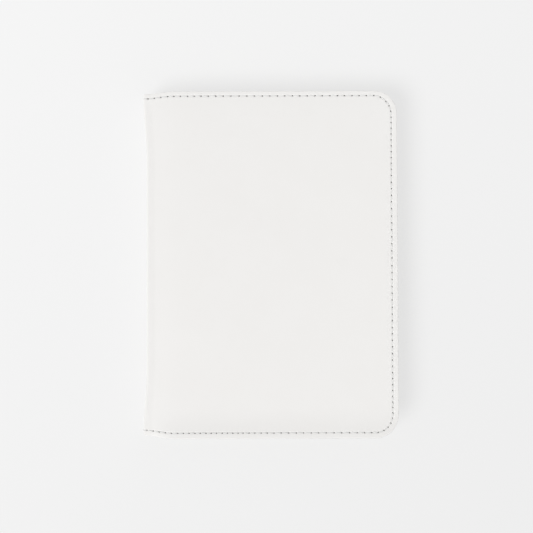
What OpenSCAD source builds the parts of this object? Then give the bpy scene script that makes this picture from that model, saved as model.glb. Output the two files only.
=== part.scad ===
// Pocket prayer book: a sewn block of pages cased into a padded, stitched leatherette cover.
// The closed book lies on its back cover. X runs from the spine to the fore-edge, Y from the tail
// to the head and Z from the back cover up to the front cover. The origin is under the middle.

/* [Book] */
// Width of the closed book, from the spine to the fore-edge
book_w = 110; // [80:1:180]
// Height of the closed book, from the tail to the head
book_h = 150; // [110:1:240]
// Radius of the two fore-edge corners of each cover
corner_r = 9; // [7.5:0.5:16]

/* [Cover layers] */
// Thickness of the leatherette skin
skin_t = 0.8; // [0.6:0.05:1]
// Thickness of the foam under the skin at the middle of a cover
foam_t = 0.5; // [0.3:0.05:2]
// Thickness of the stiff board in a cover, no thinner than the skin
board_t = 1; // [1:0.1:2]
// Thickness of the lining on the inside of a cover
lining_t = 0.5; // [0.4:0.05:0.8]
// How far the lining stops short of the edge of a cover
lining_inset = 1; // [0.6:0.1:1.5]
// How far the foam stops short of the edge of the board
foam_inset = 1; // [0.5:0.1:1.5]
// Width of the flat sewn edge of a cover, outside the padding
edge_w = 3; // [2.9:0.1:4.5]
// Width of the soft flat strip beside the spine
joint_w = 4; // [3:0.1:8]
// Width of the slope from the sewn edge up to the padded middle
pad_slope = 3.5; // [2:0.5:14]
// Width of the same slope on the spine side
joint_slope = 9; // [4:0.5:14]

/* [Stitching] */
// Distance from the edge of a cover to the line of stitches
stitch_margin = 2.3; // [2:0.1:2.5]
// Diameter of the needle thread, on the outside
thread_d = 0.45; // [0.3:0.05:0.5]
// Diameter of the bobbin thread, on the inside
bobbin_d = 0.3; // [0.2:0.05:0.35]
// Width of the channel that the thread lies in
channel_w = 0.7; // [0.6:0.05:0.8]
// Gap between one stitch and the next
stitch_gap = 1; // [0.6:0.1:1.4]
// Stitch length along the head edge, gap included
head_pitch = 3.3; // [2.4:0.1:4]
// Stitch length along the fore-edge, gap included
fore_pitch = 2.85; // [2.4:0.05:4]
// Stitch length along the tail edge, gap included
tail_pitch = 2.6; // [2.4:0.1:4]

/* [Pages] */
// Thickness of one folded section of eight leaves
section_t = 1; // [0.5:0.05:3]
// Thickness of a single leaf or endpaper
leaf_t = 0.15; // [0.1:0.01:0.3]
// How far the pages stop short of the edge of a cover
page_inset = 3.5; // [2.5:0.1:5]
// Air between two leaves or sections that lie on each other
leaf_gap = 0.08; // [0.05:0.01:0.15]

/* [Binding] */
// Width of the hollow between the spine and the back of the pages
hollow_w = 1.4; // [0.5:0.1:3]
// Thickness of the gauze glued over the backs of the sections
mull_t = 0.3; // [0.2:0.05:0.6]
// Thickness of the glue on the backs of the sections
glue_t = 0.3; // [0.3:0.05:0.6]
// Diameter of the sewing thread along the backs of the sections
sewing_d = 0.25; // [0.15:0.05:0.3]
// Number of sewing stations along the back
sewing_stations = 6; // [3:1:10]
// Diameter of the headband and the tailband
band_d = 1.6; // [1.2:0.1:2.4]

/* [Hidden] */

arc_fn = 64;
over = 1;           // how far a cutting tool reaches past the face it cuts
least_r = 0.5;      // radius of a corner that is drawn in further than the cover's own radius
joint_gap = 0.1;    // between the round fold at a joint and the cover beside it
half_sections = 4;  // sections on each side of the middle opening
half_leaves = 2;    // single leaves on each side of the middle opening

edge_t = 2 * skin_t + lining_t;
cover_t = lining_t + board_t + foam_t + skin_t;
pad_rise = cover_t - edge_t;
half_block_t = leaf_t + 2 * leaf_gap + half_sections * (section_t + leaf_gap)
    + half_leaves * (leaf_t + leaf_gap) - leaf_gap / 2;
book_t = 2 * (cover_t + leaf_t + half_block_t);

spine_x = -book_w / 2;
fore_x = book_w / 2;
fold_r = edge_t / 2;
fold_x = spine_x + fold_r;
back_fold_z = pad_rise + fold_r;
front_fold_z = book_t - back_fold_z;
joint_x = spine_x + edge_t + joint_gap;

// The board reaches as far down the slope as leaves a whole thickness of skin over it.
board_share = (board_t - skin_t) / pad_rise;
board_inset = edge_w + pad_slope * board_share;
board_x = spine_x + joint_w + joint_slope * board_share;

hollow_x = spine_x + skin_t + lining_t;
mull_x = hollow_x + hollow_w;
glue_x = mull_x + mull_t;
pages_x = glue_x + glue_t + joint_gap;
page_h = book_h - 2 * page_inset;
page_corner_r = corner_r - page_inset;
block_z = cover_t + leaf_t;
sections_z = block_z + leaf_t + 2 * leaf_gap;
back_w = book_t - 2 * sections_z;
sewing_pitch = page_h / (sewing_stations + 1);
band_y = page_h / 2 + leaf_gap + band_d / 2;
mull_h = page_h + 2 * (leaf_gap + band_d);

// Outline of a cover or a leaf: a rectangle from x_start to the fore-edge with two round corners.
module outline(inset, x_start, r) {
    x_end = fore_x - inset;
    y_end = book_h / 2 - inset;
    translate([x_start, -y_end]) square([x_end - r - x_start, 2 * y_end]);
    translate([x_start, r - y_end]) square([x_end - x_start, 2 * (y_end - r)]);
    for (side = [-1, 1])
        translate([x_end - r, side * (y_end - r)]) circle(r, $fn = arc_fn);
}

// Outline of a cover, drawn in by an inset. The corners stay at least a little round.
module cover_outline(inset, x_start = joint_x) {
    outline(inset, x_start, max(corner_r - inset, least_r));
}

// A cover is drawn with its inside face at Z 0 and its outside upwards, then placed.
module place_front() {
    translate([0, 0, book_t - cover_t]) children();
}

module place_back() {
    translate([0, 0, cover_t]) mirror([0, 0, 1]) children();
}

// Everything under the padded outer surface of a cover, with that surface lowered.
module under_crown(lowered = 0) {
    low = edge_t - lowered;
    high = cover_t - lowered;
    across = [
        [spine_x - over, -over],
        [spine_x - over, low],
        [spine_x + joint_w, low],
        [spine_x + joint_w + joint_slope, high],
        [fore_x - edge_w - pad_slope, high],
        [fore_x - edge_w, low],
        [fore_x + over, low],
        [fore_x + over, -over]
    ];
    y_edge = book_h / 2 - edge_w;
    y_end = book_h / 2 + over;
    along = [
        [-y_end, -over],
        [-y_end, low],
        [-y_edge, low],
        [pad_slope - y_edge, high],
        [y_edge - pad_slope, high],
        [y_edge, low],
        [y_end, low],
        [y_end, -over]
    ];
    intersection() {
        rotate([90, 0, 0]) linear_extrude(book_h + 4 * over, center = true) polygon(across);
        rotate([90, 0, 90]) linear_extrude(book_w + 4 * over, center = true) polygon(along);
    }
}

// The strip that runs round the three sewn edges of a cover.
module channel_ring() {
    difference() {
        cover_outline(stitch_margin - channel_w / 2, joint_x - over);
        cover_outline(stitch_margin + channel_w / 2, joint_x - 2 * over);
    }
}

module board_body() {
    translate([0, 0, lining_t]) linear_extrude(board_t) cover_outline(board_inset, board_x);
}

module foam_body() {
    intersection() {
        translate([0, 0, lining_t + board_t])
            linear_extrude(foam_t) cover_outline(board_inset + foam_inset, board_x + foam_inset);
        under_crown(skin_t);
    }
}

module lining_body() {
    difference() {
        linear_extrude(lining_t) cover_outline(lining_inset);
        translate([0, 0, -over]) linear_extrude(over + bobbin_d) channel_ring();
    }
}

// The skin wraps the lining's edge, the board and the foam, and has a channel for the thread.
module skin_body() {
    difference() {
        intersection() {
            linear_extrude(cover_t) cover_outline(0);
            under_crown();
        }
        translate([0, 0, -over])
            linear_extrude(over + lining_t) cover_outline(lining_inset, joint_x - over);
        board_body();
        foam_body();
        translate([0, 0, edge_t - thread_d]) linear_extrude(over + thread_d) channel_ring();
    }
}

module pastedown_body() {
    translate([0, 0, -leaf_t])
        linear_extrude(leaf_t) outline(page_inset, pages_x, page_corner_r);
}

// One stitch along X, centred.
module stitch(length, d) {
    rotate([0, 90, 0]) cylinder(h = length, d = d, center = true, $fn = 24);
}

// A straight row of stitches from one point to another.
module stitch_row(from, to, pitch, d) {
    run = norm(to - from);
    count = floor(run / pitch);
    step = run / count;
    along = (to - from) / run;
    for (i = [0 : count - 1])
        translate(from + along * step * (i + 0.5))
            rotate([0, 0, atan2(along[1], along[0])]) stitch(step - stitch_gap, d);
}

// Stitches round a corner, from one angle to another.
module stitch_corner(centre, r, from_angle, pitch, d) {
    count = round(r * PI / 2 / pitch);
    turn = 90 / count;
    for (i = [0 : count - 1])
        translate(centre) rotate([0, 0, from_angle + turn * (i + 0.5)])
            translate([0, -r, 0]) stitch(r * turn * PI / 180 - stitch_gap, d);
}

// The stitches round the three sewn edges of a cover, at one height.
module edge_stitches(z, d) {
    r = corner_r - stitch_margin;
    x_in = fore_x - corner_r;
    y_in = book_h / 2 - corner_r;
    x_line = fore_x - stitch_margin;
    y_line = book_h / 2 - stitch_margin;
    translate([0, 0, z]) {
        stitch_row([joint_x, y_line, 0], [x_in, y_line, 0], head_pitch, d);
        stitch_row([x_line, -y_in, 0], [x_line, y_in, 0], fore_pitch, d);
        stitch_row([joint_x, -y_line, 0], [x_in, -y_line, 0], tail_pitch, d);
        stitch_corner([x_in, -y_in, 0], r, 0, fore_pitch, d);
        stitch_corner([x_in, y_in, 0], r, 90, fore_pitch, d);
    }
}

module needle_stitches() {
    edge_stitches(edge_t - thread_d / 2, thread_d);
}

module bobbin_stitches() {
    edge_stitches(bobbin_d / 2, bobbin_d);
}

// The round fold of the skin at a joint, with its neck where the thread crosses it.
module fold(z) {
    translate([fold_x, 0, z]) rotate([90, 0, 0]) difference() {
        cylinder(h = book_h, r = fold_r, center = true, $fn = arc_fn);
        for (side = [-1, 1])
            translate([0, 0, side * (book_h / 2 - stitch_margin)]) difference() {
                cylinder(h = channel_w, r = fold_r + over, center = true, $fn = arc_fn);
                cylinder(h = channel_w + over, r = fold_r - thread_d, center = true, $fn = arc_fn);
            }
    }
}

module spine_skin() {
    color("whitesmoke") {
        difference() {
            translate([spine_x, -book_h / 2, back_fold_z])
                cube([skin_t, book_h, front_fold_z - back_fold_z]);
            for (side = [-1, 1])
                translate([spine_x, side * (book_h / 2 - stitch_margin), book_t / 2])
                    cube([2 * thread_d, channel_w, book_t], center = true);
        }
        fold(back_fold_z);
        fold(front_fold_z);
    }
}

module spine_lining() {
    color("gainsboro") difference() {
        translate([spine_x + skin_t, lining_inset - book_h / 2, cover_t])
            cube([lining_t, book_h - 2 * lining_inset, book_t - 2 * cover_t]);
        for (side = [-1, 1])
            translate([hollow_x, side * (book_h / 2 - stitch_margin), book_t / 2])
                cube([2 * bobbin_d, channel_w, book_t], center = true);
    }
}

// Stitches across the spine at its head and tail.
module spine_stitches(x, d, z_start) {
    run = book_t - 2 * z_start;
    count = floor(run / fore_pitch);
    step = run / count;
    for (side = [-1, 1], i = [0 : count - 1])
        translate([x, side * (book_h / 2 - stitch_margin), z_start + step * (i + 0.5)])
            cylinder(h = step - stitch_gap, d = d, center = true, $fn = 24);
}

module spine_needle_thread() {
    color("white") spine_stitches(spine_x + thread_d / 2, thread_d, back_fold_z);
}

module spine_bobbin_thread() {
    color("white") spine_stitches(hollow_x - bobbin_d / 2, bobbin_d, cover_t);
}

module mull() {
    color("ivory") translate([mull_x, -mull_h / 2, sections_z]) cube([mull_t, mull_h, back_w]);
}

// A stretch of sewing thread over the back of the block, at one station, sunk in the glue.
module sewing_bar(station) {
    translate([glue_x + glue_t - sewing_d / 4, station * sewing_pitch - page_h / 2, sections_z])
        cylinder(h = back_w, d = sewing_d, $fn = 16);
}

module sewing_thread() {
    color("white") for (station = [1 : sewing_stations]) sewing_bar(station);
}

module spine_glue() {
    color("cornsilk") difference() {
        translate([glue_x, -page_h / 2, sections_z]) cube([glue_t, page_h, back_w]);
        for (station = [1 : sewing_stations]) sewing_bar(station);
    }
}

// A round woven band that covers one end of the block's back.
module band(side) {
    translate([glue_x + band_d / 2, side * band_y, sections_z])
        cylinder(h = back_w, d = band_d, $fn = 32);
}

module headband() {
    color("white") band(1);
}

module tailband() {
    color("white") band(-1);
}

// Height of a section's lower face, counted from the nearer cover: 1 lies next to the flyleaf.
function section_z(n) = sections_z + (n - 1) * (section_t + leaf_gap);
// Height of a single leaf's lower face: 1 lies next to the sections and 2 at the middle opening.
function leaf_z(n) = section_z(half_sections + 1) + (n - 1) * (leaf_t + leaf_gap);
flyleaf_z = block_z + leaf_gap;

// A page or a stack of pages whose lower face is at z. The front half is the back half mirrored.
module back_half(z, t) {
    translate([0, 0, z]) linear_extrude(t) outline(page_inset, pages_x, page_corner_r);
}

module front_half(z, t) {
    back_half(book_t - z - t, t);
}

// A folded section has a round back.
module section(z) {
    translate([pages_x + section_t / 2, 0, z + section_t / 2])
        rotate([90, 0, 0]) cylinder(h = page_h, d = section_t, center = true, $fn = 32);
    translate([0, 0, z]) linear_extrude(section_t)
        outline(page_inset, pages_x + section_t / 2, page_corner_r);
}

module front_section(n) {
    color("floralwhite") section(book_t - section_z(n) - section_t);
}

module back_section(n) {
    color("floralwhite") section(section_z(n));
}

color("whitesmoke") place_back() skin_body();  // back_skin
color("khaki") place_back() foam_body();  // back_foam
color("tan") place_back() board_body();  // back_board
color("gainsboro") place_back() lining_body();  // back_lining
color("ivory") place_back() pastedown_body();  // back_pastedown
color("white") place_back() needle_stitches();  // back_needle_thread
color("white") place_back() bobbin_stitches();  // back_bobbin_thread
spine_skin();
spine_lining();
spine_needle_thread();
spine_bobbin_thread();
mull();
spine_glue();
sewing_thread();
headband();
tailband();
color("whitesmoke") place_front() skin_body();  // front_skin
color("khaki") place_front() foam_body();  // front_foam
color("tan") place_front() board_body();  // front_board
color("gainsboro") place_front() lining_body();  // front_lining
color("ivory") place_front() pastedown_body();  // front_pastedown
color("white") place_front() needle_stitches();  // front_needle_thread
color("white") place_front() bobbin_stitches();  // front_bobbin_thread
color("ivory") front_half(flyleaf_z, leaf_t);  // front_flyleaf
front_section(1);  // section_1
front_section(2);  // section_2
front_section(3);  // section_3
front_section(4);  // section_4
color("floralwhite") front_half(leaf_z(1), leaf_t);  // leaf_1
color("floralwhite") front_half(leaf_z(2), leaf_t);  // leaf_2
color("floralwhite") back_half(leaf_z(2), leaf_t);  // leaf_3
color("floralwhite") back_half(leaf_z(1), leaf_t);  // leaf_4
back_section(4);  // section_5
back_section(3);  // section_6
back_section(2);  // section_7
back_section(1);  // section_8
color("ivory") back_half(flyleaf_z, leaf_t);  // back_flyleaf
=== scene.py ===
import math
import bpy
import numpy as np
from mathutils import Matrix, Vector


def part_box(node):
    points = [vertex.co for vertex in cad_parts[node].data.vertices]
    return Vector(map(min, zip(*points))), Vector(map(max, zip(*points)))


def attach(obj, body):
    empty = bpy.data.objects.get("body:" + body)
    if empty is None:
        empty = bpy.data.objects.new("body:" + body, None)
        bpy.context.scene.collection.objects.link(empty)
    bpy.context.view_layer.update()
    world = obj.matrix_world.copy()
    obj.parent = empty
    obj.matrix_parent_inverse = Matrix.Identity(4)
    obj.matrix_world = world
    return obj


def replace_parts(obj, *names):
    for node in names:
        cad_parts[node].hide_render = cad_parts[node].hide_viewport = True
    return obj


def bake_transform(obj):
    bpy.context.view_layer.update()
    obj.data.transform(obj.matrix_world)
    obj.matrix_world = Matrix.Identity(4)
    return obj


# Looks of the pocket prayer book. Lengths are in millimetres until a mesh is made.
# The cover skin, its lining and its threads are drawn on one sheet with coordinates (s, y): s runs from
# the middle of the spine, over the fold of the joint and across the cover; y runs from tail to head.
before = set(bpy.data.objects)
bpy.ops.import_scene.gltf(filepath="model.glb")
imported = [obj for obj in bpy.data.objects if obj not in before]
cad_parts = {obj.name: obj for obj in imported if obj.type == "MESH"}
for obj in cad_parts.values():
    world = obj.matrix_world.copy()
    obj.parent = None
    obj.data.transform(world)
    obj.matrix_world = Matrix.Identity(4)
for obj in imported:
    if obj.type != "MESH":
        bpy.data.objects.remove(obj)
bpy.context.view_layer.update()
MM = 0.001
rng = np.random.default_rng(41)


def node_box(name):
    lo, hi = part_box(name)
    return np.array(lo) / MM, np.array(hi) / MM


SPINE_X = node_box("spine_skin")[0][0]
FORE_X = node_box("front_skin")[1][0]
HALF_H = node_box("front_skin")[1][1]
BOOK_T = node_box("front_skin")[1][2]
MARGIN_Z = node_box("spine_skin")[1][2]
INNER_Z = node_box("front_lining")[0][2]
PAGES_X = node_box("section_4")[0][0]
PAGE_FORE_X = node_box("section_4")[1][0]
PAGE_HALF_H = node_box("section_4")[1][1]
EDGE_T = MARGIN_Z - INNER_Z
SPINE_T = node_box("spine_lining")[1][0] - SPINE_X
FACE_RISE = BOOK_T - MARGIN_Z

# Shape of the case: its outline and stitch line follow the photo, and its depths were chosen
CORNER_R = 10.4
PART_CORNER_R = 9.0     # the corner radius of the covers in the CAD part; the pages follow it
FOLD_R = 1.5
FLAT_SPINE = MARGIN_Z - FOLD_R - BOOK_T / 2
FOLD_LEN = FOLD_R * math.pi / 2
SHEET_W = FLAT_SPINE + FOLD_LEN + FORE_X - SPINE_X - FOLD_R
WAIST = 1.35            # how far the spine is drawn in between its head and its tail
WAIST_FROM = 72.0
WAIST_RUN = 26.0
WAIST_FADE_X = (-53.0, -42.0)
DRAWN_IN = (1.2, 1.35)  # how far the head and the tail edge are drawn in at the spine
DRAWN_RUN = 13.0
DRAWN_FROM_Y = 60.0
DRAWN_FADE_Y = 15.0
FORE_STITCH_SHIFT = 0.45    # the stitches lie further in along the fore-edge and further out at the head
FORE_SHIFT_HALF = 2.2
HEAD_STITCH_SHIFT = 0.20
HEAD_SHIFT_HALF = 1.5
ROLL_DEPTH = 0.32       # how far the rolled edge reaches in
ROLL_POWER = 0.6
STITCH_IN = 2.3         # distance of the stitch line from the edge
GROOVE = 0.16           # the stitches are pulled this far into the skin
GROOVE_HALF = 0.32
GROOVE_ARCH = 0.35      # it is this much shallower in the middle of a stitch
PIT = 0.60              # depth of a needle hole
PIT_LENGTH = 0.46
PIT_HALF = 0.23
SMALLER_PITS = 0.12     # the holes are this much smaller along the fore-edge and the tail
PUCKER = 0.03           # ripple of the skin across the stitches
PUCKER_RUN = 1.2
EDGE_SHADE = 0.60        # darkness of the painted shade line along the middle of the rolled edge, in place of the thin shadow at the cover's edge
EDGE_SHADE_HALF = 0.07   # half its width, as an angle round the edge
WELT = 0.05             # how far the skin stands up beside the stitches
WELT_FROM_SEAM = 0.75
WELT_HALF = 0.3
VALLEY_X = -51.6        # the shallow valley of the joint
VALLEY = 0.05
VALLEY_HALF = 1.3
JOINT_LEVEL = 0.10          # height of the strip beside the spine, as a share of the padding's height
EDGE_FLAT = 2.5             # the padding starts this far from the edge
WIDE_SWELL = 0.03           # unevenness of the padding and of the skin
CLOSE_SWELL = 0.006
PAD_START_X = -50.0
PAD_LENGTH = 10.0           # the padding rises slowly from that strip to the face
FOLD_SQUARE = 9.0           # how square the outer corner of the fold is: 2 is round
CURL_RUN = 13.0             # the tail edge of the front cover is curled up over this width
CURL_POWER = 1.3
CURL_STEEPEST = 0.34
CURL_FROM_SPINE = 14.0      # it grows to its full size over this distance from the spine
CURL_FLAT_EDGE = 0.45       # how much flatter it is outside the stitches
END_DROP = (0.16, 0.36)     # share of the padding's height that is lost at the tail and at the head
END_LENGTH = (1.4, 2.4)
FORE_DROP = 0.10
FORE_LENGTH = 0.8
# Stitch lengths at even distances along each side, from the spine at the head round to the spine at the
# tail. They were worked out from the places of the needle holes in the photo.
HEAD_PITCH = (2.8, 2.83, 3.38, 3.24, 3.2, 3.0)
FORE_PITCH = (2.46, 2.55, 3.02, 3.1, 2.91, 2.68, 2.16)
TAIL_PITCH = (2.4, 3.33, 3.25, 3.1, 2.25, 2.33, 2.64, 2.68)
PITCH_SHARE = 0.04      # each hole is off by up to this share of a stitch
THREAD_R = 0.2
THREAD_END = 0.3        # the thread dives into the hole this far from its middle
BOBBIN_R = 0.13
SKIN_T = 0.8


def ease(t):
    """0 to 1 with soft ends."""
    t = np.clip(t, 0.0, 1.0)
    return t * t * (3 - 2 * t)


def soft_noise(generator, waves, longest, shortest):
    """A smooth function of two coordinates, made of plane waves, about -1 to 1."""
    angle = generator.uniform(0, math.tau, waves)
    length = np.exp(generator.uniform(math.log(shortest), math.log(longest), waves))
    phase = generator.uniform(0, math.tau, waves)
    size = length / length.max()
    kx, ky = np.cos(angle) / length * math.tau, np.sin(angle) / length * math.tau

    def value(a, b):
        total = 0.0
        for i in range(waves):
            total = total + size[i] * np.sin(kx[i] * a + ky[i] * b + phase[i])
        return total / math.sqrt((size**2).sum())

    return value


# ---------------------------------------------------------------- the sheet

def cross_profile(s):
    """Point and outward normal of the margin-level surface of the front half at s."""
    turn = np.clip((s - FLAT_SPINE) / FOLD_R, 0, math.pi / 2)
    x = SPINE_X + FOLD_R * (1 - np.cos(turn)) + np.maximum(s - FLAT_SPINE - FOLD_LEN, 0)
    z = BOOK_T / 2 + np.minimum(s, FLAT_SPINE) + FOLD_R * np.sin(turn)
    return x, z, -np.cos(turn), np.sin(turn)


CURL_STEPS = np.linspace(0, CURL_RUN, 261)
CURL_SLOPE = (CURL_STEEPEST * (1 - CURL_STEPS / CURL_RUN) ** CURL_POWER
              * (1 - CURL_FLAT_EDGE * (1 - ease(CURL_STEPS / STITCH_IN - 0.3))))
CURL_LIFT = np.cumsum(CURL_SLOPE[::-1])[::-1] * (CURL_STEPS[1] - CURL_STEPS[0])


def curl(x, y):
    """How far the tail edge of the front cover stands up, and the slope of that along y."""
    size = ease((x - SPINE_X) / CURL_FROM_SPINE)
    from_edge = np.clip(HALF_H + y, 0, CURL_RUN)
    return (size * np.interp(from_edge, CURL_STEPS, CURL_LIFT),
            -size * np.interp(from_edge, CURL_STEPS, CURL_SLOPE))


def place(s, y, h, back):
    """The sheet's (s, y) raised by h, as points of the front or the back half of the book."""
    x, z, nx, nz = cross_profile(s)
    lo, hi = WAIST_FADE_X
    waist = WAIST * ease((WAIST_FROM - np.abs(y)) / WAIST_RUN) * (1 - ease((x - lo) / (hi - lo)))
    drawn = np.where(y > 0, *DRAWN_IN) * (1 - ease((x - SPINE_X) / DRAWN_RUN))
    drawn = drawn * ease((np.abs(y) - DRAWN_FROM_Y) / DRAWN_FADE_Y)
    straight = ease((HALF_H - np.abs(y)) / CORNER_R)
    by_stitches = np.exp(-(((inset_of(s, y) - STITCH_IN) / FORE_SHIFT_HALF) ** 2))
    x = x - FORE_STITCH_SHIFT * straight * by_stitches * (x > 0)
    drawn = drawn - HEAD_STITCH_SHIFT * np.exp(-(((HALF_H - y - STITCH_IN) / HEAD_SHIFT_HALF) ** 2))
    z = z + nz * h
    if back:
        return np.stack([x + nx * h + waist, y - np.sign(y) * drawn, BOOK_T - z], -1)
    lift, slope = curl(x, y)
    return np.stack([x + nx * h + waist, y - np.sign(y) * drawn - slope * nz * h, z + lift], -1)


def inset_of(s, y):
    """Distance from the sewn edge of the sheet."""
    a, b = SHEET_W - s, HALF_H - np.abs(y)
    corner = (a < CORNER_R) & (b < CORNER_R)
    return np.where(corner, CORNER_R - np.hypot(CORNER_R - a, CORNER_R - b), np.minimum(a, b))


# Steps along the head and the tail are closer together over the fold
SIDE_S = np.linspace(0, SHEET_W - CORNER_R, 1201)
SIDE_DENSITY = 1 + 5 * np.exp(-(((SIDE_S - FLAT_SPINE - FOLD_LEN / 2) / 2.2) ** 4))
SIDE_SHARE = np.concatenate([[0], np.cumsum(SIDE_DENSITY[1:] + SIDE_DENSITY[:-1])])
SIDE_SHARE = SIDE_SHARE / SIDE_SHARE[-1]


def u_line(inset, n_side, n_arc, n_fore):
    """A line parallel to the sewn edge, from mid-spine at the head round to mid-spine at the tail."""
    r, sc, yc = CORNER_R - inset, SHEET_W - CORNER_R, HALF_H - CORNER_R
    side = np.interp(np.linspace(0, 1, n_side + 1), SIDE_SHARE, SIDE_S * sc / SIDE_S[-1])
    angle = np.linspace(math.pi / 2, 0, n_arc + 1)[1:]
    fore = np.linspace(yc, -yc, n_fore + 1)[1:]
    s = np.concatenate([side, sc + r * np.cos(angle), np.full(n_fore, SHEET_W - inset),
                        sc + r * np.cos(angle[::-1][1:]), [sc], side[::-1][1:]])
    y = np.concatenate([np.full(n_side + 1, yc + r), yc + r * np.sin(angle), fore,
                        -yc - r * np.sin(angle[::-1][1:]), [-yc - r], np.full(n_side, -yc - r)])
    return s, y


def thickness(s):
    """Thickness of the case at its edge: the spine is thinner than the covers."""
    x = cross_profile(s)[0]
    return SPINE_T + (EDGE_T - SPINE_T) * ease((x - SPINE_X - FOLD_R) / 2.0)


def coons(s, y, n_head, n_fore):
    """Grid that fills the inside of a U line: its corners are the middles of the two arcs."""
    head = np.stack([s[: n_head + 1], y[: n_head + 1]], -1)
    fore = np.stack([s[n_head: n_head + n_fore + 1], y[n_head: n_head + n_fore + 1]], -1)
    tail = np.stack([s[n_head + n_fore:][::-1], y[n_head + n_fore:][::-1]], -1)
    spine = np.stack([np.zeros(n_fore + 1), np.linspace(y[0], y[-1], n_fore + 1)], -1)
    u = np.linspace(0, 1, n_head + 1)[:, None, None]
    v = np.linspace(0, 1, n_fore + 1)[None, :, None]
    edges = (1 - v) * head[:, None] + v * tail[:, None] + (1 - u) * spine[None] + u * fore[None]
    corners = ((1 - u) * (1 - v) * head[0] + u * (1 - v) * head[-1]
               + (1 - u) * v * tail[0] + u * v * tail[-1])
    grid = edges - corners
    return grid[..., 0], grid[..., 1]


# ---------------------------------------------------------------- meshes

def make_mesh(name, points, faces, uv=None, values=None, sharp=60.0):
    mesh = bpy.data.meshes.new(name)
    mesh.from_pydata((points.reshape(-1, 3) * MM).tolist(), [], faces)
    if uv is not None:
        corner = np.empty(len(mesh.loops), np.int32)
        mesh.loops.foreach_get("vertex_index", corner)
        layer = mesh.uv_layers.new(name="UVMap")
        layer.data.foreach_set("uv", uv.reshape(-1, 2)[corner].astype(np.float32).ravel())
    for key, value in (values or {}).items():
        attribute = mesh.attributes.new(key, "FLOAT", "POINT")
        attribute.data.foreach_set("value", np.asarray(value, np.float32).ravel())
    mesh.polygons.foreach_set("use_smooth", np.ones(len(mesh.polygons), bool))
    mesh.set_sharp_from_angle(angle=math.radians(sharp))
    mesh.update()
    obj = bpy.data.objects.new(name, mesh)
    bpy.context.scene.collection.objects.link(obj)
    return obj


def quads(index):
    """Faces of a grid of vertex numbers."""
    return np.stack([index[:-1, :-1], index[1:, :-1], index[1:, 1:], index[:-1, 1:]], -1).reshape(-1, 4)


def third(fine, coarse):
    """Faces between a line of vertices and one with a third as many steps."""
    a0, a1, a2, a3 = fine[:-1:3], fine[1::3], fine[2::3], fine[3::3]
    b0, b1 = coarse[:-1], coarse[1:]
    return (np.stack([a0, b0, a1], -1).tolist() + np.stack([a1, b0, b1, a2], -1).tolist()
            + np.stack([a2, b1, a3], -1).tolist())


def flipped(faces):
    return [list(face)[::-1] for face in faces]


class Patchwork:
    """Collects vertices of the sheet and the faces between them."""

    def __init__(self):
        self.s, self.y, self.h, self.extra, self.faces, self.count = [], [], [], [], [], 0

    def add(self, s, y, h, extra=None):
        s = np.asarray(s, float)
        extra = 0 * s if extra is None else extra
        numbers = np.arange(self.count, self.count + s.size).reshape(s.shape)
        for store, value in ((self.s, s), (self.y, y), (self.h, h), (self.extra, extra)):
            store.append(np.broadcast_to(value, s.shape).ravel())
        self.count += s.size
        return numbers

    def build(self, name, back):
        s, y, h, extra = (np.concatenate(v) for v in (self.s, self.y, self.h, self.extra))
        points = place(s, y, h, back)
        faces = self.faces if back else flipped(self.faces)
        # this attribute carries the painted shade of the needle holes and of the line along the rolled edge
        return make_mesh(name, points, faces, np.stack([s, y], -1) / 100.0, {"pit_and_painted_shade": extra})


# Fine mesh steps along the edge, all multiples of 3 so that the inner mesh can be a third as fine
N_SIDE, N_ARC, N_FORE = 429, 54, 528


class Seam:
    """The row of needle holes round one cover and over its half of the spine."""

    def __init__(self, seed):
        generator = np.random.default_rng(seed)
        self.s, self.y = u_line(STITCH_IN, N_SIDE, N_ARC, N_FORE)
        self.s2, self.y2 = u_line(STITCH_IN + 1, N_SIDE, N_ARC, N_FORE)
        step = np.hypot(np.diff(self.s), np.diff(self.y))
        self.along = np.concatenate([[0], np.cumsum(step)])
        head_end = self.along[N_SIDE + N_ARC // 2]
        fore_end = self.along[N_SIDE + N_ARC + N_FORE + N_ARC // 2]
        holes = [np.array([0.0])]
        for start, end, pitch in ((0, head_end, HEAD_PITCH), (head_end, fore_end, FORE_PITCH),
                                  (fore_end, self.along[-1], TAIL_PITCH)):
            place_on = np.linspace(start, end, 400)
            rate = 1 / np.interp(place_on, np.linspace(start, end, len(pitch)), pitch)
            turns = np.cumsum(rate) - rate[0]
            count = round(turns[-1] * (place_on[1] - place_on[0]))
            off = generator.uniform(-PITCH_SHARE, PITCH_SHARE, count)
            off[-1] = 0
            holes.append(np.interp((np.arange(1, count + 1) + off) / count * turns[-1], turns, place_on))
        self.holes = np.concatenate(holes)

    def near(self):
        """For each fine step: distance to the nearest hole, and the position within its stitch, 0 to 1."""
        i = np.clip(np.searchsorted(self.holes, self.along) - 1, 0, len(self.holes) - 2)
        before, after = self.along - self.holes[i], self.holes[i + 1] - self.along
        return np.minimum(np.abs(before), np.abs(after)), np.clip(before / (before + after), 0, 1)

    def point(self, along, aside):
        """Sheet coordinates of a point of the seam, moved aside by a little, away from the edge."""
        s, y = np.interp(along, self.along, self.s), np.interp(along, self.along, self.y)
        s2, y2 = np.interp(along, self.along, self.s2), np.interp(along, self.along, self.y2)
        return s + aside * (s2 - s), y + aside * (y2 - y)


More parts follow.
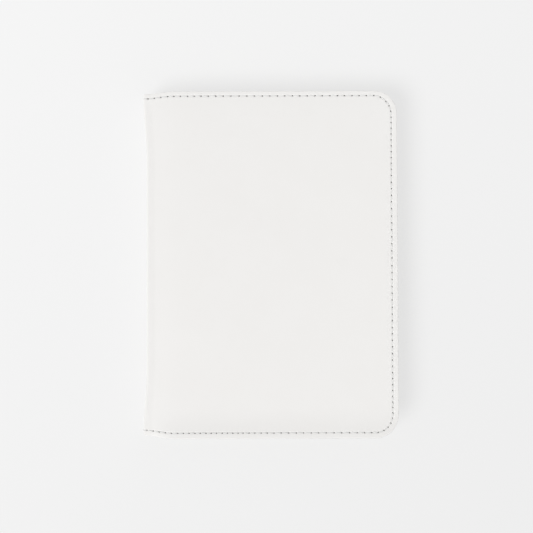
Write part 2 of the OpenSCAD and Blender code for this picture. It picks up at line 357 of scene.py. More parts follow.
class Relief:
    """Height of the outer face of a cover and its half of the spine over the margin level."""

    def __init__(self, back, seed):
        generator = np.random.default_rng(seed)
        self.back = back
        self.wide = soft_noise(generator, 9, 70, 24)
        self.close = soft_noise(generator, 12, 14, 5)
        self.edge = soft_noise(generator, 10, 40, 9)

    def side(self, s, y):
        """0 along the fore-edge, 1 along the head and the tail, and smooth round the corners."""
        a, b = SHEET_W - s, HALF_H - np.abs(y)
        turn = np.arctan2(np.maximum(CORNER_R - b, 0), np.maximum(CORNER_R - a, 1e-6))
        return ease(turn / (math.pi / 2))

    def broad(self, s, y):
        """The padding, the joint and the curl of the edges, without the stitching."""
        x = cross_profile(s)[0]
        inset = inset_of(s, y)
        side = self.side(s, y)
        drop = FORE_DROP * (1 - side) + np.where(y > 0, END_DROP[1], END_DROP[0]) * side
        length = FORE_LENGTH * (1 - side) + np.where(y > 0, END_LENGTH[1], END_LENGTH[0]) * side
        padding = 1 - drop * np.exp(-np.maximum(inset - EDGE_FLAT, 0) / length)
        run = np.logaddexp(0, x - PAD_START_X)
        turn = np.clip((s - FLAT_SPINE) / FOLD_R, 0, math.pi / 2)
        joint = JOINT_LEVEL * np.sin(turn)
        height = FACE_RISE * padding * (joint + (1 - JOINT_LEVEL) * (1 - np.exp(-run / PAD_LENGTH)))
        round_sum = np.cos(turn) ** FOLD_SQUARE + np.sin(turn) ** FOLD_SQUARE
        height = height + FOLD_R * (round_sum ** (-1 / FOLD_SQUARE) - 1)
        height = height - VALLEY * np.exp(-(((x - VALLEY_X) / VALLEY_HALF) ** 2)) * ease((x - SPINE_X) / 2)
        calm = ease((x - SPINE_X - 1) / 6)
        height = height + WIDE_SWELL * self.wide(s, y) * calm + CLOSE_SWELL * self.close(s, y)
        return np.minimum(height, FACE_RISE) if self.back else height

    def stitched(self, s, y, inset, near, within):
        """The broad height with groove, pits, welt and puckers. Also how deep in a needle hole a point is;
        this also sets the painted shade in the hole.
        """
        across = inset - STITCH_IN
        arch = np.sin(math.pi * within)
        tight = 1 + SMALLER_PITS * (1 - np.where(y > 0, self.side(s, y), 0))
        # the needle-hole mask: it deepens the pit and also sets the painted shade in the hole
        pit_and_painted_shade = np.exp(-((near * tight / PIT_LENGTH) ** 4) - (across * tight / PIT_HALF) ** 4)
        groove = GROOVE * (1 - GROOVE_ARCH * arch) * np.exp(-((across / GROOVE_HALF) ** 2))
        welt = WELT * arch * np.exp(-(((np.abs(across) - WELT_FROM_SEAM) / WELT_HALF) ** 2))
        pucker = PUCKER * (arch - 0.5) * np.exp(-np.maximum(across, 0) / PUCKER_RUN) * ease(across + 0.2)
        return self.broad(s, y) - groove - PIT * pit_and_painted_shade + welt + pucker, pit_and_painted_shade


# Distance from the edge and height over the inner face, of the skin's turn-in and of the lining
TURN_IN_ROWS = ((3.2, 0.5), (1.45, 0.45), (1.12, 0.12))
LINING_TUCK = ((1.5, 0.4), (1.02, 0.3), (1.0, 0.02))
LINING_EDGE = ((1.06, -0.03), (1.25, -0.045), (1.8, -0.04), (2.0, -0.02))
LINING_OVER_THREAD = ((2.15, 0.05), (2.3, 0.09), (2.45, 0.05), (2.6, -0.02))
LINING_INSIDE = ((2.8, -0.04), (3.1, -0.03), (3.5, 0.03))
EDGE_STEPS = 13
EDGE_SHADE_ROWS = 0.05       # extra rows on both sides of the painted shade line, as an angle round the edge
EDGE_WANDER = 0.03
SEWN_FROM, SEWN_TO, EDGE_TO = 1.6, 3.0, 5.0     # the finest rows lie along the stitches
FACE_FROM = 5.6
INNER_FROM = 3.9
LINING_FACE_FROM = 4.2


def skin(name, back, seam, relief):
    """Leatherette over one cover and half of the spine: outer face, rolled edge, turn-in and inner face."""
    work = Patchwork()
    near, within = seam.near()
    fine = (N_SIDE, N_ARC, N_FORE)
    coarse = tuple(n // 3 for n in fine)
    n_head, n_fore = coarse[0] + coarse[1] // 2, coarse[2] + 2 * (coarse[1] // 2)
    rows = []
    for inset, lift in TURN_IN_ROWS:
        s, y = u_line(inset, *fine)
        rows.append(work.add(s, y, lift - thickness(s)))
    s_edge, y_edge = u_line(0, *fine)
    wander = EDGE_WANDER * relief.edge(s_edge, y_edge) * ease((s_edge - 4) / 8)
    beside = math.pi / 2 + np.array([-EDGE_SHADE_ROWS, EDGE_SHADE_ROWS])
    for turn in np.sort(np.concatenate([np.linspace(math.pi, 0, EDGE_STEPS), beside]))[::-1]:
        inset = ROLL_DEPTH * (1 - abs(math.sin(turn)) ** ROLL_POWER)
        s, y = u_line(inset, *fine)
        top, under = relief.broad(*u_line(ROLL_DEPTH, *fine)), -thickness(s)
        bend = math.copysign(abs(math.cos(turn)) ** ROLL_POWER, math.cos(turn))
        h = (top + under) / 2 + (top - under) / 2 * bend
        s_in, y_in = u_line(inset + 1, *fine)
        # painted shade: a thin dark line along the middle of the rolled edge
        edge_shade = EDGE_SHADE * math.exp(-(((turn - math.pi / 2) / EDGE_SHADE_HALF) ** 2))
        rows.append(work.add(s + wander * (s_in - s), y + wander * (y_in - y), h, edge_shade + 0 * s))
    tops = np.concatenate([np.linspace(ROLL_DEPTH, SEWN_FROM, 4)[1:], np.linspace(SEWN_FROM, SEWN_TO, 15)[1:],
                           np.linspace(SEWN_TO, EDGE_TO, 9)[1:]])
    for inset in tops:
        s, y = u_line(inset, *fine)
        h, pit_and_painted_shade = relief.stitched(s, y, inset, near, within)
        rows.append(work.add(s, y, h, pit_and_painted_shade))
    work.faces += quads(np.stack(rows)).tolist()
    s, y = coons(*u_line(FACE_FROM, *coarse), n_head, n_fore)
    outer = work.add(s, y, relief.broad(s, y))
    s, y = coons(*u_line(INNER_FROM, *coarse), n_head, n_fore)
    inner = work.add(s, y, np.minimum(relief.broad(s, y), FACE_RISE) - SKIN_T)
    for grid, line, turned in ((outer, rows[-1], False), (inner, rows[0], True)):
        rim = np.concatenate([grid[:, 0], grid[-1, 1:], grid[:-1, -1][::-1]])
        bridge, inside = third(line, rim), quads(grid.T).tolist()
        work.faces += flipped(bridge) + flipped(inside) if turned else bridge + inside
    return work.build(name, back)


def lining(name, back, relief):
    """Lining over the inside of one cover and half of the spine, tucked under the turned-in skin."""
    work = Patchwork()
    counts = (N_SIDE // 3, N_ARC // 3, N_FORE // 3)
    n_head, n_fore = counts[0] + counts[1] // 2, counts[2] + 2 * (counts[1] // 2)
    rows = []
    for inset, lift in LINING_TUCK + LINING_EDGE + LINING_OVER_THREAD + LINING_INSIDE:
        s, y = u_line(inset, *counts)
        rows.append(work.add(s, y, lift - thickness(s) - 0.008 * relief.close(s, y)))
    work.faces += flipped(quads(np.stack(rows)))
    s, y = coons(*u_line(LINING_FACE_FROM, *counts), n_head, n_fore)
    face = work.add(s, y, 0.04 - thickness(s))
    rim = np.concatenate([face[:, 0], face[-1, 1:], face[:-1, -1][::-1]])
    work.faces += flipped(quads(np.stack([rows[-1], rim]))) + flipped(quads(face.T))
    return work.build(name, back)


# ---------------------------------------------------------------- threads

def tubes(name, centres, up, radius, plies, ply_pitch, sides=12):
    """Closed tubes of twisted plies along rows of points: centres and up are (tube, point, xyz)."""
    tangent = np.gradient(centres, axis=1)
    tangent /= np.linalg.norm(tangent, axis=-1, keepdims=True)
    across = np.cross(tangent, up)
    across /= np.linalg.norm(across, axis=-1, keepdims=True)
    lift = np.cross(across, tangent)
    step = np.linalg.norm(np.diff(centres, axis=1), axis=-1)
    run = np.concatenate([np.zeros((len(centres), 1)), np.cumsum(step, 1)], 1)
    angle = np.linspace(0, math.tau, sides, endpoint=False)
    lobes = 1 + 0.13 * np.abs(np.cos(plies / 2 * (angle - math.tau * run[..., None] / ply_pitch)))
    r = (radius[:, :, None] * lobes)[..., None]
    points = (centres[:, :, None] + r * (np.cos(angle)[None, None, :, None] * across[:, :, None]
                                         + np.sin(angle)[None, None, :, None] * lift[:, :, None]))
    n_tube, n_point = centres.shape[:2]
    index = np.arange(points[..., 0].size).reshape(n_tube, n_point, sides)
    index = np.concatenate([index, index[:, :, :1]], 2)
    faces = np.stack([index[:, :-1, :-1], index[:, :-1, 1:], index[:, 1:, 1:], index[:, 1:, :-1]], -1)
    faces = faces.reshape(-1, 4).tolist()
    faces += [row[:-1] for row in index[:, 0].tolist()] + [row[:-1][::-1] for row in index[:, -1].tolist()]
    around = np.broadcast_to(angle / math.tau, points[..., 0].shape)
    along = np.broadcast_to(run[..., None] + 3.7 * np.arange(n_tube)[:, None, None], points[..., 0].shape)
    return make_mesh(name, points, faces, np.stack([around, along], -1))


STITCH_POINTS = 15
STITCH_ARCH = 0.07          # rise of the thread between two holes
NEEDLE_SUNK, NEEDLE_DIP = 0.10, 0.42    # how deep the threads lie, and how far they dive into the holes
BOBBIN_SUNK, BOBBIN_DIP = 0.04, 0.22
PLIES = 3
PLY_PITCH = 1.5


def sewn_thread(name, back, seam, relief, radius, inside, seed):
    """One thread of the lockstitch: a short arch from each hole to the next, on one face of the case."""
    generator = np.random.default_rng(seed)
    t = np.linspace(0, 1, STITCH_POINTS)[None, :]
    first, last = seam.holes[:-1, None], seam.holes[1:, None]
    slant = generator.uniform(0.03, 0.09, first.shape) * (-1 if inside else 1)
    tight = generator.uniform(-0.03, 0.03, first.shape)
    along = first + THREAD_END + (last - first - 2 * THREAD_END) * t
    s, y = seam.point(along, slant * np.sin(math.tau * (t - 0.5)))
    dip = np.abs(2 * t - 1) ** 7
    if inside:
        level = -thickness(s) + BOBBIN_SUNK - STITCH_ARCH * np.sin(math.pi * t) + BOBBIN_DIP * dip
    else:
        arch = (STITCH_ARCH + tight) * np.sin(math.pi * t)
        level = relief.broad(s, y) - NEEDLE_SUNK + arch - NEEDLE_DIP * dip
    centres = place(s, y, level, back)
    up = place(s, y, level + 1, back) - centres
    r = radius * (1 - 0.25 * dip) * np.ones_like(s)
    return tubes(name, centres, up, r, PLIES, PLY_PITCH)


# ---------------------------------------------------------------- pages

PAGE_R = PART_CORNER_R - (FORE_X - PAGE_FORE_X)
LEAF_PITCH = 0.125
LEAF_T = 0.098
PAGE_ROWS = 9           # vertices across a page
PAGE_FILL = 0.42        # half the paper's share of the room for a single leaf
LEAF_MARK = 0.6         # seeds the printing of a single leaf, clear of the steps at each half
ENDPAPER_MARK = 0.5
SECTION_SHEETS = 4
BEND_RUN = 12.0         # the mesh steps of a page lie closer together within this distance of its fold


def page_half_height(x, x_end, half_h, corner_r=PAGE_R):
    over = np.clip(x - (x_end - corner_r), 0, corner_r)
    return half_h - corner_r + np.sqrt(np.maximum(corner_r**2 - over**2, 0))


def page_stations(x_start, x_end, corner_r=PAGE_R):
    gutter = np.linspace(x_start, x_start + BEND_RUN, 25)
    middle = np.linspace(x_start + BEND_RUN, x_end - corner_r, 8)[1:]
    corner = x_end - corner_r + corner_r * np.sin(np.linspace(0, math.pi / 2, 9))[1:]
    return np.concatenate([gutter, middle, corner])


def plate(first, second):
    """Points and faces of a closed thin plate between two (n, m, xyz) grids."""
    n, m = first.shape[:2]
    a = np.arange(n * m).reshape(n, m)
    b = a + n * m
    faces = quads(a).tolist() + flipped(quads(b))
    for side in (np.s_[0], np.s_[:, -1], np.s_[-1, ::-1], np.s_[::-1, 0]):
        rim_a, rim_b = a[side], b[side]
        faces += quads(np.stack([rim_b, rim_a])).tolist()
    return np.concatenate([first.reshape(-1, 3), second.reshape(-1, 3)]), faces


def across_page(x, x_end, half_h, z):
    """A (station, row, xyz) grid over a page whose stations are at x and z."""
    v = np.linspace(-1, 1, PAGE_ROWS)[None, :]
    half = page_half_height(x, x_end, half_h)[:, None]
    whole = (len(x), PAGE_ROWS)
    return np.stack([np.broadcast_to(x[:, None], whole), half * v, np.broadcast_to(z[:, None], whole)], -1)


def pages_object(name, parts):
    """One object from several plates; each keeps a number that its printing is seeded with."""
    points, faces, uv, leaf, count = [], [], [], [], 0
    for number, (p, f, turned) in enumerate(parts):
        points.append(p)
        faces += [[i + count for i in face] for face in f]
        uv.append(np.stack([p[:, 0] - PAGES_X, p[:, 1]], -1) / 100.0)
        leaf.append(number + turned)
        count += len(p)
    values = {"leaf": np.concatenate(leaf)}
    return make_mesh(name, np.concatenate(points), faces, np.concatenate(uv), values, 40.0)


def section(name, generator):
    """Four sheets folded round each other: eight leaves."""
    lo, hi = node_box(name)
    z_mid, x_fold = (lo[2] + hi[2]) / 2, lo[0] + (hi[2] - lo[2]) / 2
    parts = []
    for sheet in range(SECTION_SHEETS):
        radius = (hi[2] - lo[2]) / 2 - LEAF_PITCH * (sheet + 0.5)
        x_end = PAGE_FORE_X + generator.uniform(-0.07, 0.03)
        half_h = PAGE_HALF_H + generator.uniform(-0.05, 0.02)
        x = page_stations(x_fold, x_end)
        turn = np.linspace(math.pi / 2, 3 * math.pi / 2, 11)[1:-1]
        surfaces = []
        for offset in (LEAF_T / 2, -LEAF_T / 2):
            r = max(radius + offset, 0.006)
            upper, lower = np.full(len(x), z_mid + r), np.full(len(x), z_mid - r)
            path_x = np.concatenate([x[::-1], x_fold + r * np.cos(turn), x])
            path_z = np.concatenate([upper, z_mid + r * np.sin(turn), lower])
            surfaces.append(across_page(path_x, x_end, half_h, path_z))
        points, faces = plate(surfaces[1], surfaces[0])
        turned = np.where(points[:, 2] > z_mid, 0.25, 0.75) + 8 * sheet
        parts.append((points, faces, turned))
    return pages_object(name + "_leaves", parts)


def bend_page(piece):
    """Bakes the piece's placement into its mesh."""
    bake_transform(piece)


def single_leaf(name, x_end_move):
    """A leaf of its own, made as a thin plate in place of its node's part."""
    lo, hi = node_box(name)
    x = page_stations(lo[0], hi[0] + x_end_move)
    z = np.full(len(x), (lo[2] + hi[2]) / 2)
    half_t = (hi[2] - lo[2]) * PAGE_FILL
    top = across_page(x, hi[0] + x_end_move, hi[1], z + half_t)
    under = across_page(x, hi[0] + x_end_move, hi[1], z - half_t)
    points, faces = plate(under, top)
    leaf = pages_object(name + "_sheet", [(points, faces, np.full(len(points), LEAF_MARK))])
    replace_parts(leaf, name)
    bend_page(leaf)
    return leaf


# ---------------------------------------------------------------- materials

class Tree:
    """Short way to write a material's nodes."""

    def __init__(self, name):
        self.material = bpy.data.materials.new(name)
        self.material.use_nodes = True
        self.tree = self.material.node_tree
        self.tree.nodes.clear()
        self.shader = self.node("ShaderNodeBsdfPrincipled")
        output = self.node("ShaderNodeOutputMaterial")
        self.tree.links.new(self.shader.outputs[0], output.inputs["Surface"])

    def node(self, kind, inputs=(), **settings):
        made = self.tree.nodes.new(kind)
        for key, value in settings.items():
            setattr(made, key, value)
        for key, value in dict(inputs).items():
            self.put(made.inputs[key], value)
        return made

    def put(self, socket, value):
        if isinstance(value, bpy.types.Node):
            value = value.outputs[0]
        if isinstance(value, bpy.types.NodeSocket):
            self.tree.links.new(value, socket)
        elif socket.type == "RGBA":
            socket.default_value = (*value, 1.0)
        else:
            socket.default_value = value

    def math(self, operation, a, b=0.0, clamp=False):
        return self.node("ShaderNodeMath", {0: a, 1: b}, operation=operation, use_clamp=clamp)

    def times(self, a, b):
        return self.math("MULTIPLY", a, b)

    def plus(self, a, b):
        return self.math("ADD", a, b)

    def mix(self, factor, a, b):
        made = self.node("ShaderNodeMix", data_type="RGBA")
        self.put(made.inputs[0], factor)
        self.put(made.inputs[6], a)
        self.put(made.inputs[7], b)
        return made.outputs[2]

    def ramp(self, value, low, high):
        inputs = {"Value": value, "From Min": low, "From Max": high}
        return self.node("ShaderNodeMapRange", inputs, interpolation_type="SMOOTHSTEP")

    def noise(self, vector, scale, detail=4.0, rough=0.55):
        inputs = {"Vector": vector, "Scale": scale, "Detail": detail, "Roughness": rough}
        return self.node("ShaderNodeTexNoise", inputs)

    def stretched(self, vector, x, y):
        return self.node("ShaderNodeMapping", {"Vector": vector, "Scale": (x, y, 1.0)}).outputs[0]

    def value_of(self, attribute):
        return self.node("ShaderNodeAttribute", attribute_name=attribute).outputs["Fac"]

    def uv(self):
        return self.node("ShaderNodeTexCoord").outputs["UV"]

    def place(self):
        return self.node("ShaderNodeTexCoord").outputs["Object"]

    def bump(self, height, strength, distance):
        made = self.node("ShaderNodeBump", {"Height": height, "Strength": strength, "Distance": distance})
        self.put(self.shader.inputs["Normal"], made.outputs[0])

    def set(self, **values):
        for key, value in values.items():
            self.put(self.shader.inputs[key.replace("_", " ")], value)


def leatherette():
    """Smooth white leatherette: a faint pebble, pores, a soft satin coat, painted shade in the needle holes
    (which also stands for the dark backing seen in them) and a painted shade line along the middle of the
    rolled edge.
    """
    m = Tree("leatherette")
    uv = m.uv()
    pebble = m.node("ShaderNodeTexVoronoi", {"Vector": uv, "Scale": 260.0}, feature="SMOOTH_F1")
    fine = m.noise(uv, 620.0, 3.0)
    broad = m.noise(uv, 5.0, 3.0)
    height = m.plus(m.times(pebble.outputs["Distance"], 0.7), m.times(fine, 0.3))
    base = m.mix(m.ramp(broad, 0.35, 0.65), LEATHER, LEATHER_WARM)
    # painted shade: darkens the needle holes and the line along the middle of the rolled edge
    painted_shade_amount = m.ramp(m.value_of("pit_and_painted_shade"), 0.22, 0.75)
    m.set(Base_Color=m.mix(painted_shade_amount, base, PAINTED_SHADE_COLOUR), Roughness=m.plus(m.times(broad, 0.08), 0.46))
    m.set(Specular_IOR_Level=0.35)
    m.bump(height, 0.10, 0.00003)
    return m.material


def thread_material():
    """Spun polyester: fine fibres along the twist."""
    m = Tree("thread")
    uv = m.uv()
    fibre = m.noise(m.stretched(uv, 30.0, 2.2), 2.0, 5.0, 0.7)
    patch = m.noise(uv, 0.35, 2.0)
    m.set(Base_Color=m.mix(m.ramp(fibre, 0.3, 0.7), THREAD_DARK, THREAD), Roughness=0.72)
    m.bump(m.plus(fibre, m.times(patch, 0.3)), 0.35, 0.00004)
    m.set(Sheen_Weight=0.15)
    return m.material


def woven(name, colour, dark, scale, strength):
    """Plain weave cloth."""
    m = Tree(name)
    uv = m.uv()
    wave = {"Vector": uv, "Scale": scale, "Distortion": 0.6, "Detail": 2.0, "Detail Scale": 3.0}
    warp, weft = (m.node("ShaderNodeTexWave", wave, bands_direction=axis).outputs["Fac"] for axis in "XY")
    slub = m.noise(uv, scale * 0.2, 4.0)
    tone = m.plus(m.times(m.times(warp, weft), 0.6), m.times(slub, 0.4))
    m.set(Base_Color=m.mix(m.ramp(tone, 0.1, 0.7), dark, colour), Roughness=0.85)
    m.bump(tone, strength, 0.0001)
    return m.material


def paper(name, colour, warm, printed):
    """Book paper with fibres and, on printed leaves, rows of grey and red marks in place of text."""
    m = Tree(name)
    uv = m.uv()
    fibre = m.noise(m.stretched(uv, 1.0, 2.6), 240.0, 5.0, 0.7)
    cloud = m.noise(uv, 9.0, 4.0)
    base = m.mix(m.ramp(cloud, 0.3, 0.7), colour, warm)
    base = m.mix(m.times(m.ramp(fibre, 0.55, 0.85), 0.25), base, PAPER_FLECK)
    if printed:
        mask, red = print_marks(m, uv)
        ink = m.mix(red, INK, RED_INK)
        base = m.mix(mask, base, ink)
    m.set(Base_Color=base, Roughness=0.9, Specular_IOR_Level=0.2)
    m.bump(fibre, 0.15, 0.00004)
    return m.material


LINE_PITCH = 4.4
TEXT_TOP = 58.0
TEXT_LEFT = 16.0
TEXT_RIGHT = 91.0
LINE_FROM, LINE_TO = 0.30, 0.66     # share of the line pitch that the marks fill
SHORT_LINES_FROM = 0.78             # lines with a higher chance end early
RED_LINES_FROM = 0.86               # and those above this one are red
INK_STRENGTH = 0.8


def print_marks(m, uv):
    """Masks for the marks and for the red ones. They are rows of broken strokes that spell nothing."""
    xy = m.node("ShaderNodeSeparateXYZ", {"Vector": uv})
    x, y = m.times(xy.outputs["X"], 100.0), m.times(xy.outputs["Y"], 100.0)
    row = m.math("DIVIDE", m.plus(y, TEXT_TOP), LINE_PITCH)
    number, part = m.math("FLOOR", row), m.math("FRACT", row)
    in_row = m.times(m.math("GREATER_THAN", part, LINE_FROM), m.math("LESS_THAN", part, LINE_TO))
    leaf_side = m.math("FLOOR", m.times(m.value_of("leaf"), 2.0))
    seed = m.plus(m.times(leaf_side, 7.13), number)
    word_place = m.node("ShaderNodeCombineXYZ", {"X": m.times(x, 0.60), "Y": m.times(seed, 9.7)})
    words = m.node("ShaderNodeTexNoise", {"Vector": word_place, "Scale": 1.0, "Detail": 0.0})
    stroke_y = m.plus(m.times(seed, 5.1), m.times(part, 2.0))
    stroke_place = m.node("ShaderNodeCombineXYZ", {"X": m.times(x, 2.6), "Y": stroke_y})
    strokes = m.node("ShaderNodeTexNoise", {"Vector": stroke_place, "Scale": 1.0, "Detail": 1.0})
    chance = m.node("ShaderNodeTexWhiteNoise", {"W": seed}, noise_dimensions="1D").outputs["Value"]
    short = m.times(m.math("GREATER_THAN", chance, SHORT_LINES_FROM), m.times(chance, 38.0))
    right = m.math("SUBTRACT", TEXT_RIGHT, short)
    inside = m.times(m.math("GREATER_THAN", x, TEXT_LEFT), m.math("LESS_THAN", x, right))
    tall = m.math("LESS_THAN", m.math("ABSOLUTE", y), TEXT_TOP)
    mask = m.times(m.math("GREATER_THAN", words, 0.39), m.math("GREATER_THAN", strokes, 0.46))
    for other in (in_row, inside, tall):
        mask = m.times(mask, other)
    return m.times(mask, INK_STRENGTH), m.math("GREATER_THAN", chance, RED_LINES_FROM)


def plain(name, colour, dark, scale, rough, strength, distance):
    """A matt material with grain at one scale and cloudy variation at a larger one."""
    m = Tree(name)
    where = m.place()
    grain, cloud = m.noise(where, scale, 6.0, 0.65), m.noise(where, scale * 0.08, 3.0)
    tone = m.plus(m.times(grain, 0.6), m.times(cloud, 0.4))
    m.set(Base_Color=m.mix(m.ramp(tone, 0.3, 0.7), dark, colour), Roughness=rough)
    m.bump(grain, strength, distance)
    return m.material


def band_silk():
    """Silk wound round a cord, in two colours."""
    m = Tree("band_silk")
    uv = m.uv()
    strand = m.noise(m.stretched(uv, 1.0, 40.0), 3.0, 4.0)
    colour = m.mix(m.value_of("tint"), BAND_LIGHT, BAND_DARK)
    m.set(Base_Color=colour, Roughness=m.plus(m.times(strand, 0.2), 0.35))
    m.bump(strand, 0.3, 0.00003)
    m.set(Sheen_Weight=0.2)
    return m.material


LEATHER = (0.875, 0.865, 0.850)
LEATHER_WARM = (0.870, 0.859, 0.843)
# colour of the painted shade in the needle holes and along the rolled edge
PAINTED_SHADE_COLOUR = (0.09, 0.087, 0.09)
THREAD = (0.86, 0.86, 0.85)
THREAD_DARK = (0.70, 0.70, 0.69)
PAPER_FLECK = (0.66, 0.62, 0.54)
INK = (0.05, 0.045, 0.045)
RED_INK = (0.42, 0.05, 0.04)
BAND_LIGHT = (0.86, 0.84, 0.78)
BAND_DARK = (0.62, 0.50, 0.30)


# ---------------------------------------------------------------- the case

def dress(obj, material):
    obj.data.materials.clear()
    obj.data.materials.append(material)
    return obj


BEND_ON_SPINE = 4.2     # how far round the spine; fold_bend works out a height from it but does not use it
CORE_DEPTH = 0.84       # the skin and the glue under it
BOARD_CORNER_R = 5.0
FOAM_CORNER_R = 4.0
ENDPAPER_HALF_T = 0.06


def fold_bend(obj, back):
    """Bakes the piece's placement into its mesh."""
    z_a, z_b = BOOK_T / 2 + BEND_ON_SPINE, MARGIN_Z
    if back:
        z_a, z_b = BOOK_T - z_a, BOOK_T - z_b
    if back:
        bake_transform(obj)
    else:
        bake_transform(obj)


def sheet_s(x):
    """The sheet coordinate of a place on a cover."""
    return x - SPINE_X - FOLD_R + FLAT_SPINE + FOLD_LEN


def core(side, node, back, relief, corner_r):
    """A board or a foam sheet inside a cover, shaped as the cover is."""
    lo, hi = node_box(f"{side}_{node}")
    low, high = (BOOK_T - hi[2], BOOK_T - lo[2]) if back else (lo[2], hi[2])
    x = page_stations(lo[0], hi[0], corner_r)
    v = np.linspace(-1, 1, 41)[None, :]
    y = page_half_height(x, hi[0], hi[1], corner_r)[:, None] * v
    s = np.broadcast_to(sheet_s(x)[:, None], y.shape)
    top = np.minimum(high - MARGIN_Z, relief.broad(s, y) - CORE_DEPTH)
    under = np.minimum(low - MARGIN_Z, top - 0.05)
    first, second = place(s, y, under, back), place(s, y, top, back)
    points, faces = plate(first, second) if not back else plate(second, first)
    made = make_mesh(f"{side}_{node}_sheet", points, faces, points[:, :2] / 100.0)
    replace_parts(made, f"{side}_{node}")
    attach(made, side + "_cover")
    return made


def build_case():
    leather, thread = leatherette(), thread_material()
    grey_board = plain("grey_board", (0.46, 0.44, 0.40), (0.33, 0.31, 0.28), 1500.0, 0.95, 0.4, 0.0001)
    foam = plain("foam", (0.80, 0.76, 0.62), (0.66, 0.61, 0.46), 2600.0, 0.95, 0.6, 0.0002)
    cloth = woven("lining_cloth", (0.80, 0.79, 0.76), (0.66, 0.65, 0.62), 60.0, 0.25)
    for side, back, seed in (("front", False, 11), ("back", True, 23)):
        seam, relief = Seam(seed), Relief(back, seed + 1)
        outer = dress(skin(side + "_cover_skin", back, seam, relief), leather)
        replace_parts(outer, side + "_skin", "spine_skin")
        inner = dress(lining(side + "_cover_lining", back, relief), cloth)
        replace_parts(inner, side + "_lining", "spine_lining")
        folded = [outer, inner]
        for kind, radius, inside, more in (("needle", THREAD_R, False, 2), ("bobbin", BOBBIN_R, True, 3)):
            row = sewn_thread(f"{side}_{kind}_stitches", back, seam, relief, radius, inside, seed + more)
            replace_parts(dress(row, thread), f"{side}_{kind}_thread", f"spine_{kind}_thread")
            folded.append(row)
        for piece in folded:
            fold_bend(piece, back)
        dress(core(side, "board", back, relief, BOARD_CORNER_R), grey_board)
        padding = dress(core(side, "foam", back, relief, FOAM_CORNER_R), foam)


def endpaper(side, back, material):
    """The pastedown, glued to the lining: a thin plate in the place of its part."""
    lo, hi = node_box(side + "_pastedown")
    x = page_stations(lo[0], hi[0])
    z = np.full(len(x), (lo[2] + hi[2]) / 2)
    under, top = (across_page(x, hi[0], hi[1], z + side_of * ENDPAPER_HALF_T) for side_of in (-1, 1))
    points, faces = plate(under, top)
    if not back:
        points[:, 2] += curl(points[:, 0], points[:, 1])[0]
    sheet = pages_object(side + "_endpaper", [(points, faces, np.full(len(points), ENDPAPER_MARK))])
    dress(sheet, material)
    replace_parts(sheet, side + "_pastedown")
    if back:
        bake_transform(sheet)
    else:
        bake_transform(sheet)


def build_pages():
    page = paper("page_paper", (0.84, 0.82, 0.75), (0.82, 0.79, 0.71), True)
    end = paper("endpaper", (0.83, 0.82, 0.78), (0.81, 0.80, 0.75), False)
    for number in range(1, 9):
        name = f"section_{number}"
        made = dress(section(name, rng), page)
        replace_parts(made, name)
        bend_page(made)
    for name in ("leaf_1", "leaf_2", "leaf_3", "leaf_4"):
        dress(single_leaf(name, rng.uniform(-0.05, 0.0)), page)
    for side, back in (("front", False), ("back", True)):
        dress(single_leaf(side + "_flyleaf", 0.0), end)
        endpaper(side, back, end)


BAND_TURNS = 27
SAME_COLOUR_TURNS = 3
SILK_RISE = 0.07        # how far a turn of silk stands out
SILK_LEAN = 0.06


def wound_band(name):
    """A cord wound with silk: each turn of silk is a small ring, in groups of two colours."""
    lo, hi = node_box(name)
    x, y, r = (lo[0] + hi[0]) / 2, (lo[1] + hi[1]) / 2, (hi[0] - lo[0]) / 2
    turns, steps, sides = BAND_TURNS, 8, 28
    t = np.linspace(0, 1, turns * steps + 1)
    wind = np.abs(np.sin(math.pi * t * turns))
    radius = (r - SILK_RISE) + SILK_RISE * np.sqrt(wind)
    angle = np.linspace(0, math.tau, sides, endpoint=False)
    lean = SILK_LEAN * np.sin(angle)[None, :]
    z = lo[2] + (hi[2] - lo[2]) * (0.012 + 0.976 * t)[:, None] + lean
    points = np.stack([x + radius[:, None] * np.cos(angle), y + radius[:, None] * np.sin(angle),
                       np.broadcast_to(z, (len(t), sides))], -1)
    index = np.arange(len(t) * sides).reshape(len(t), sides)
    index = np.concatenate([index, index[:, :1]], 1)
    faces = flipped(quads(index)) + [index[0, :-1].tolist()[::-1], index[-1, :-1].tolist()]
    group = (np.floor(t * turns) // SAME_COLOUR_TURNS) % 2
    tint = np.broadcast_to(group[:, None], (len(t), sides))
    along, around = (np.broadcast_to(v, (len(t), sides)) for v in (t[:, None] * turns, angle / math.tau))
    uv = np.stack([along, around], -1)
    band = make_mesh(name + "_silk", points, faces, uv, {"tint": tint})
    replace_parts(band, name)
    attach(band, "spine")
    return band


def build_back_of_block():
    silk = band_silk()
    for name in ("headband", "tailband"):
        dress(wound_band(name), silk)
    gauze = plain("mull_gauze", (0.80, 0.78, 0.70), (0.52, 0.49, 0.42), 1800.0, 0.9, 0.5, 0.0001)
    glue = plain("animal_glue", (0.72, 0.62, 0.42), (0.60, 0.49, 0.30), 500.0, 0.35, 0.3, 0.0001)
    linen = plain("sewing_linen", (0.78, 0.75, 0.68), (0.60, 0.57, 0.50), 4000.0, 0.8, 0.5, 0.00005)
    looks = (("mull", gauze, "mull"), ("spine_glue", glue, "glue"), ("sewing_thread", linen, "thread"))
    for name, material, slot in looks:
        dress(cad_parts[name], material)


# ---------------------------------------------------------------- stage

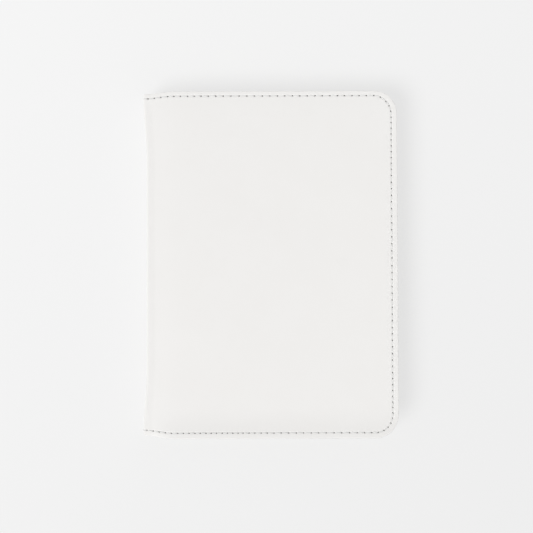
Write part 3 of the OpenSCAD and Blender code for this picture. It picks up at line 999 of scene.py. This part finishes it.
FLOOR = (0.27, 0.27, 0.27)
FLOOR_HALF = 1600.0
FLOOR_GAP = 0.02
CAMERA = (-2.0, -16.0, 500.0)   # right of and above the middle of the book, and over its face
CAMERA_TILT = 1.7
CAMERA_ROLL = -0.19
LENS = 78.3
FLOOR_SLOPE_X = -0.15   # the light on the floor changes by this share in a metre
FLOOR_SLOPE_Y = 0.13
FLOOR_FADE = (0.60, 0.22)   # between these distances in metres the floor becomes even
FLOOR_GLOW = 0.620      # part of the floor's brightness is its own glow, painted light that keeps the shadows on it faint
KEY_DIRECTION = (-0.58, -0.47, 1.0)
KEY_STRENGTH = 1.5
KEY_ANGLE = 30.0
SKY_STRENGTH = 0.60
HORIZON_STRENGTH = 0.887
SKY_RANGE = (0.04, 0.30, HORIZON_STRENGTH, SKY_STRENGTH)    # from and to which height it fades


def build_floor():
    size, z = FLOOR_HALF, -FLOOR_GAP
    points = np.array([[-size, -size, z], [size, -size, z], [size, size, z], [-size, size, z]])
    floor = make_mesh("floor", points, [[0, 1, 2, 3]])
    m = Tree("floor_paint_and_glow")
    where = m.place()
    xyz = m.node("ShaderNodeSeparateXYZ", {"Vector": where})
    # painted light: the floor's colour and glow grow brighter towards -x and +y, and even out further away
    slope = m.plus(m.times(xyz.outputs["Y"], FLOOR_SLOPE_Y), m.times(xyz.outputs["X"], FLOOR_SLOPE_X))
    grain = m.times(m.math("SUBTRACT", m.noise(where, 900.0, 3.0), 0.5), 0.004)
    away = m.node("ShaderNodeVectorMath", {0: where}, operation="LENGTH").outputs["Value"]
    slope = m.times(slope, m.ramp(away, *FLOOR_FADE))
    level = m.plus(m.plus(slope, grain), 1.0)
    tint = m.node("ShaderNodeVectorMath", {0: FLOOR}, operation="SCALE")
    m.put(tint.inputs["Scale"], level)
    m.set(Base_Color=tint.outputs[0], Roughness=0.95, Specular_IOR_Level=0.0)
    # painted light: the floor glows with part of its brightness
    m.set(Emission_Color=(1.0, 1.0, 1.0), Emission_Strength=m.times(level, FLOOR_GLOW))
    dress(floor, m.material)


def build_light():
    sun = bpy.data.lights.new("key", "SUN")
    sun.energy = KEY_STRENGTH
    sun.angle = math.radians(KEY_ANGLE)
    key = bpy.data.objects.new("key", sun)
    key.rotation_mode = "QUATERNION"
    key.rotation_quaternion = Vector(KEY_DIRECTION).to_track_quat("Z", "Y")
    bpy.context.scene.collection.objects.link(key)
    world = bpy.data.worlds.new("sky")
    world.use_nodes = True
    nodes, links = world.node_tree.nodes, world.node_tree.links
    nodes.clear()
    background, output = nodes.new("ShaderNodeBackground"), nodes.new("ShaderNodeOutputWorld")
    background.inputs["Color"].default_value = (1.0, 1.0, 1.0, 1.0)
    where, split, fall = (nodes.new("ShaderNode" + kind) for kind in ("TexCoord", "SeparateXYZ", "MapRange"))
    for name, value in zip(("From Min", "From Max", "To Min", "To Max"), SKY_RANGE):
        fall.inputs[name].default_value = value
    links.new(where.outputs["Generated"], split.inputs[0])
    links.new(split.outputs["Z"], fall.inputs["Value"])
    links.new(fall.outputs[0], background.inputs["Strength"])
    links.new(background.outputs[0], output.inputs["Surface"])
    bpy.context.scene.world = world


def build_camera():
    data = bpy.data.cameras.new("camera")
    data.lens = LENS
    data.sensor_width = 36.0
    data.clip_start, data.clip_end = 0.01, 20.0
    data.dof.use_dof = False
    camera = bpy.data.objects.new("camera", data)
    x, y, above = CAMERA
    camera.location = (x * MM, y * MM, (BOOK_T + above) * MM)
    camera.rotation_euler = (math.radians(CAMERA_TILT), 0, math.radians(CAMERA_ROLL))
    bpy.context.scene.collection.objects.link(camera)
    bpy.context.scene.camera = camera
    bpy.context.scene.view_settings.view_transform = "Standard"


build_case()
build_pages()
build_back_of_block()
build_floor()
build_light()
build_camera()
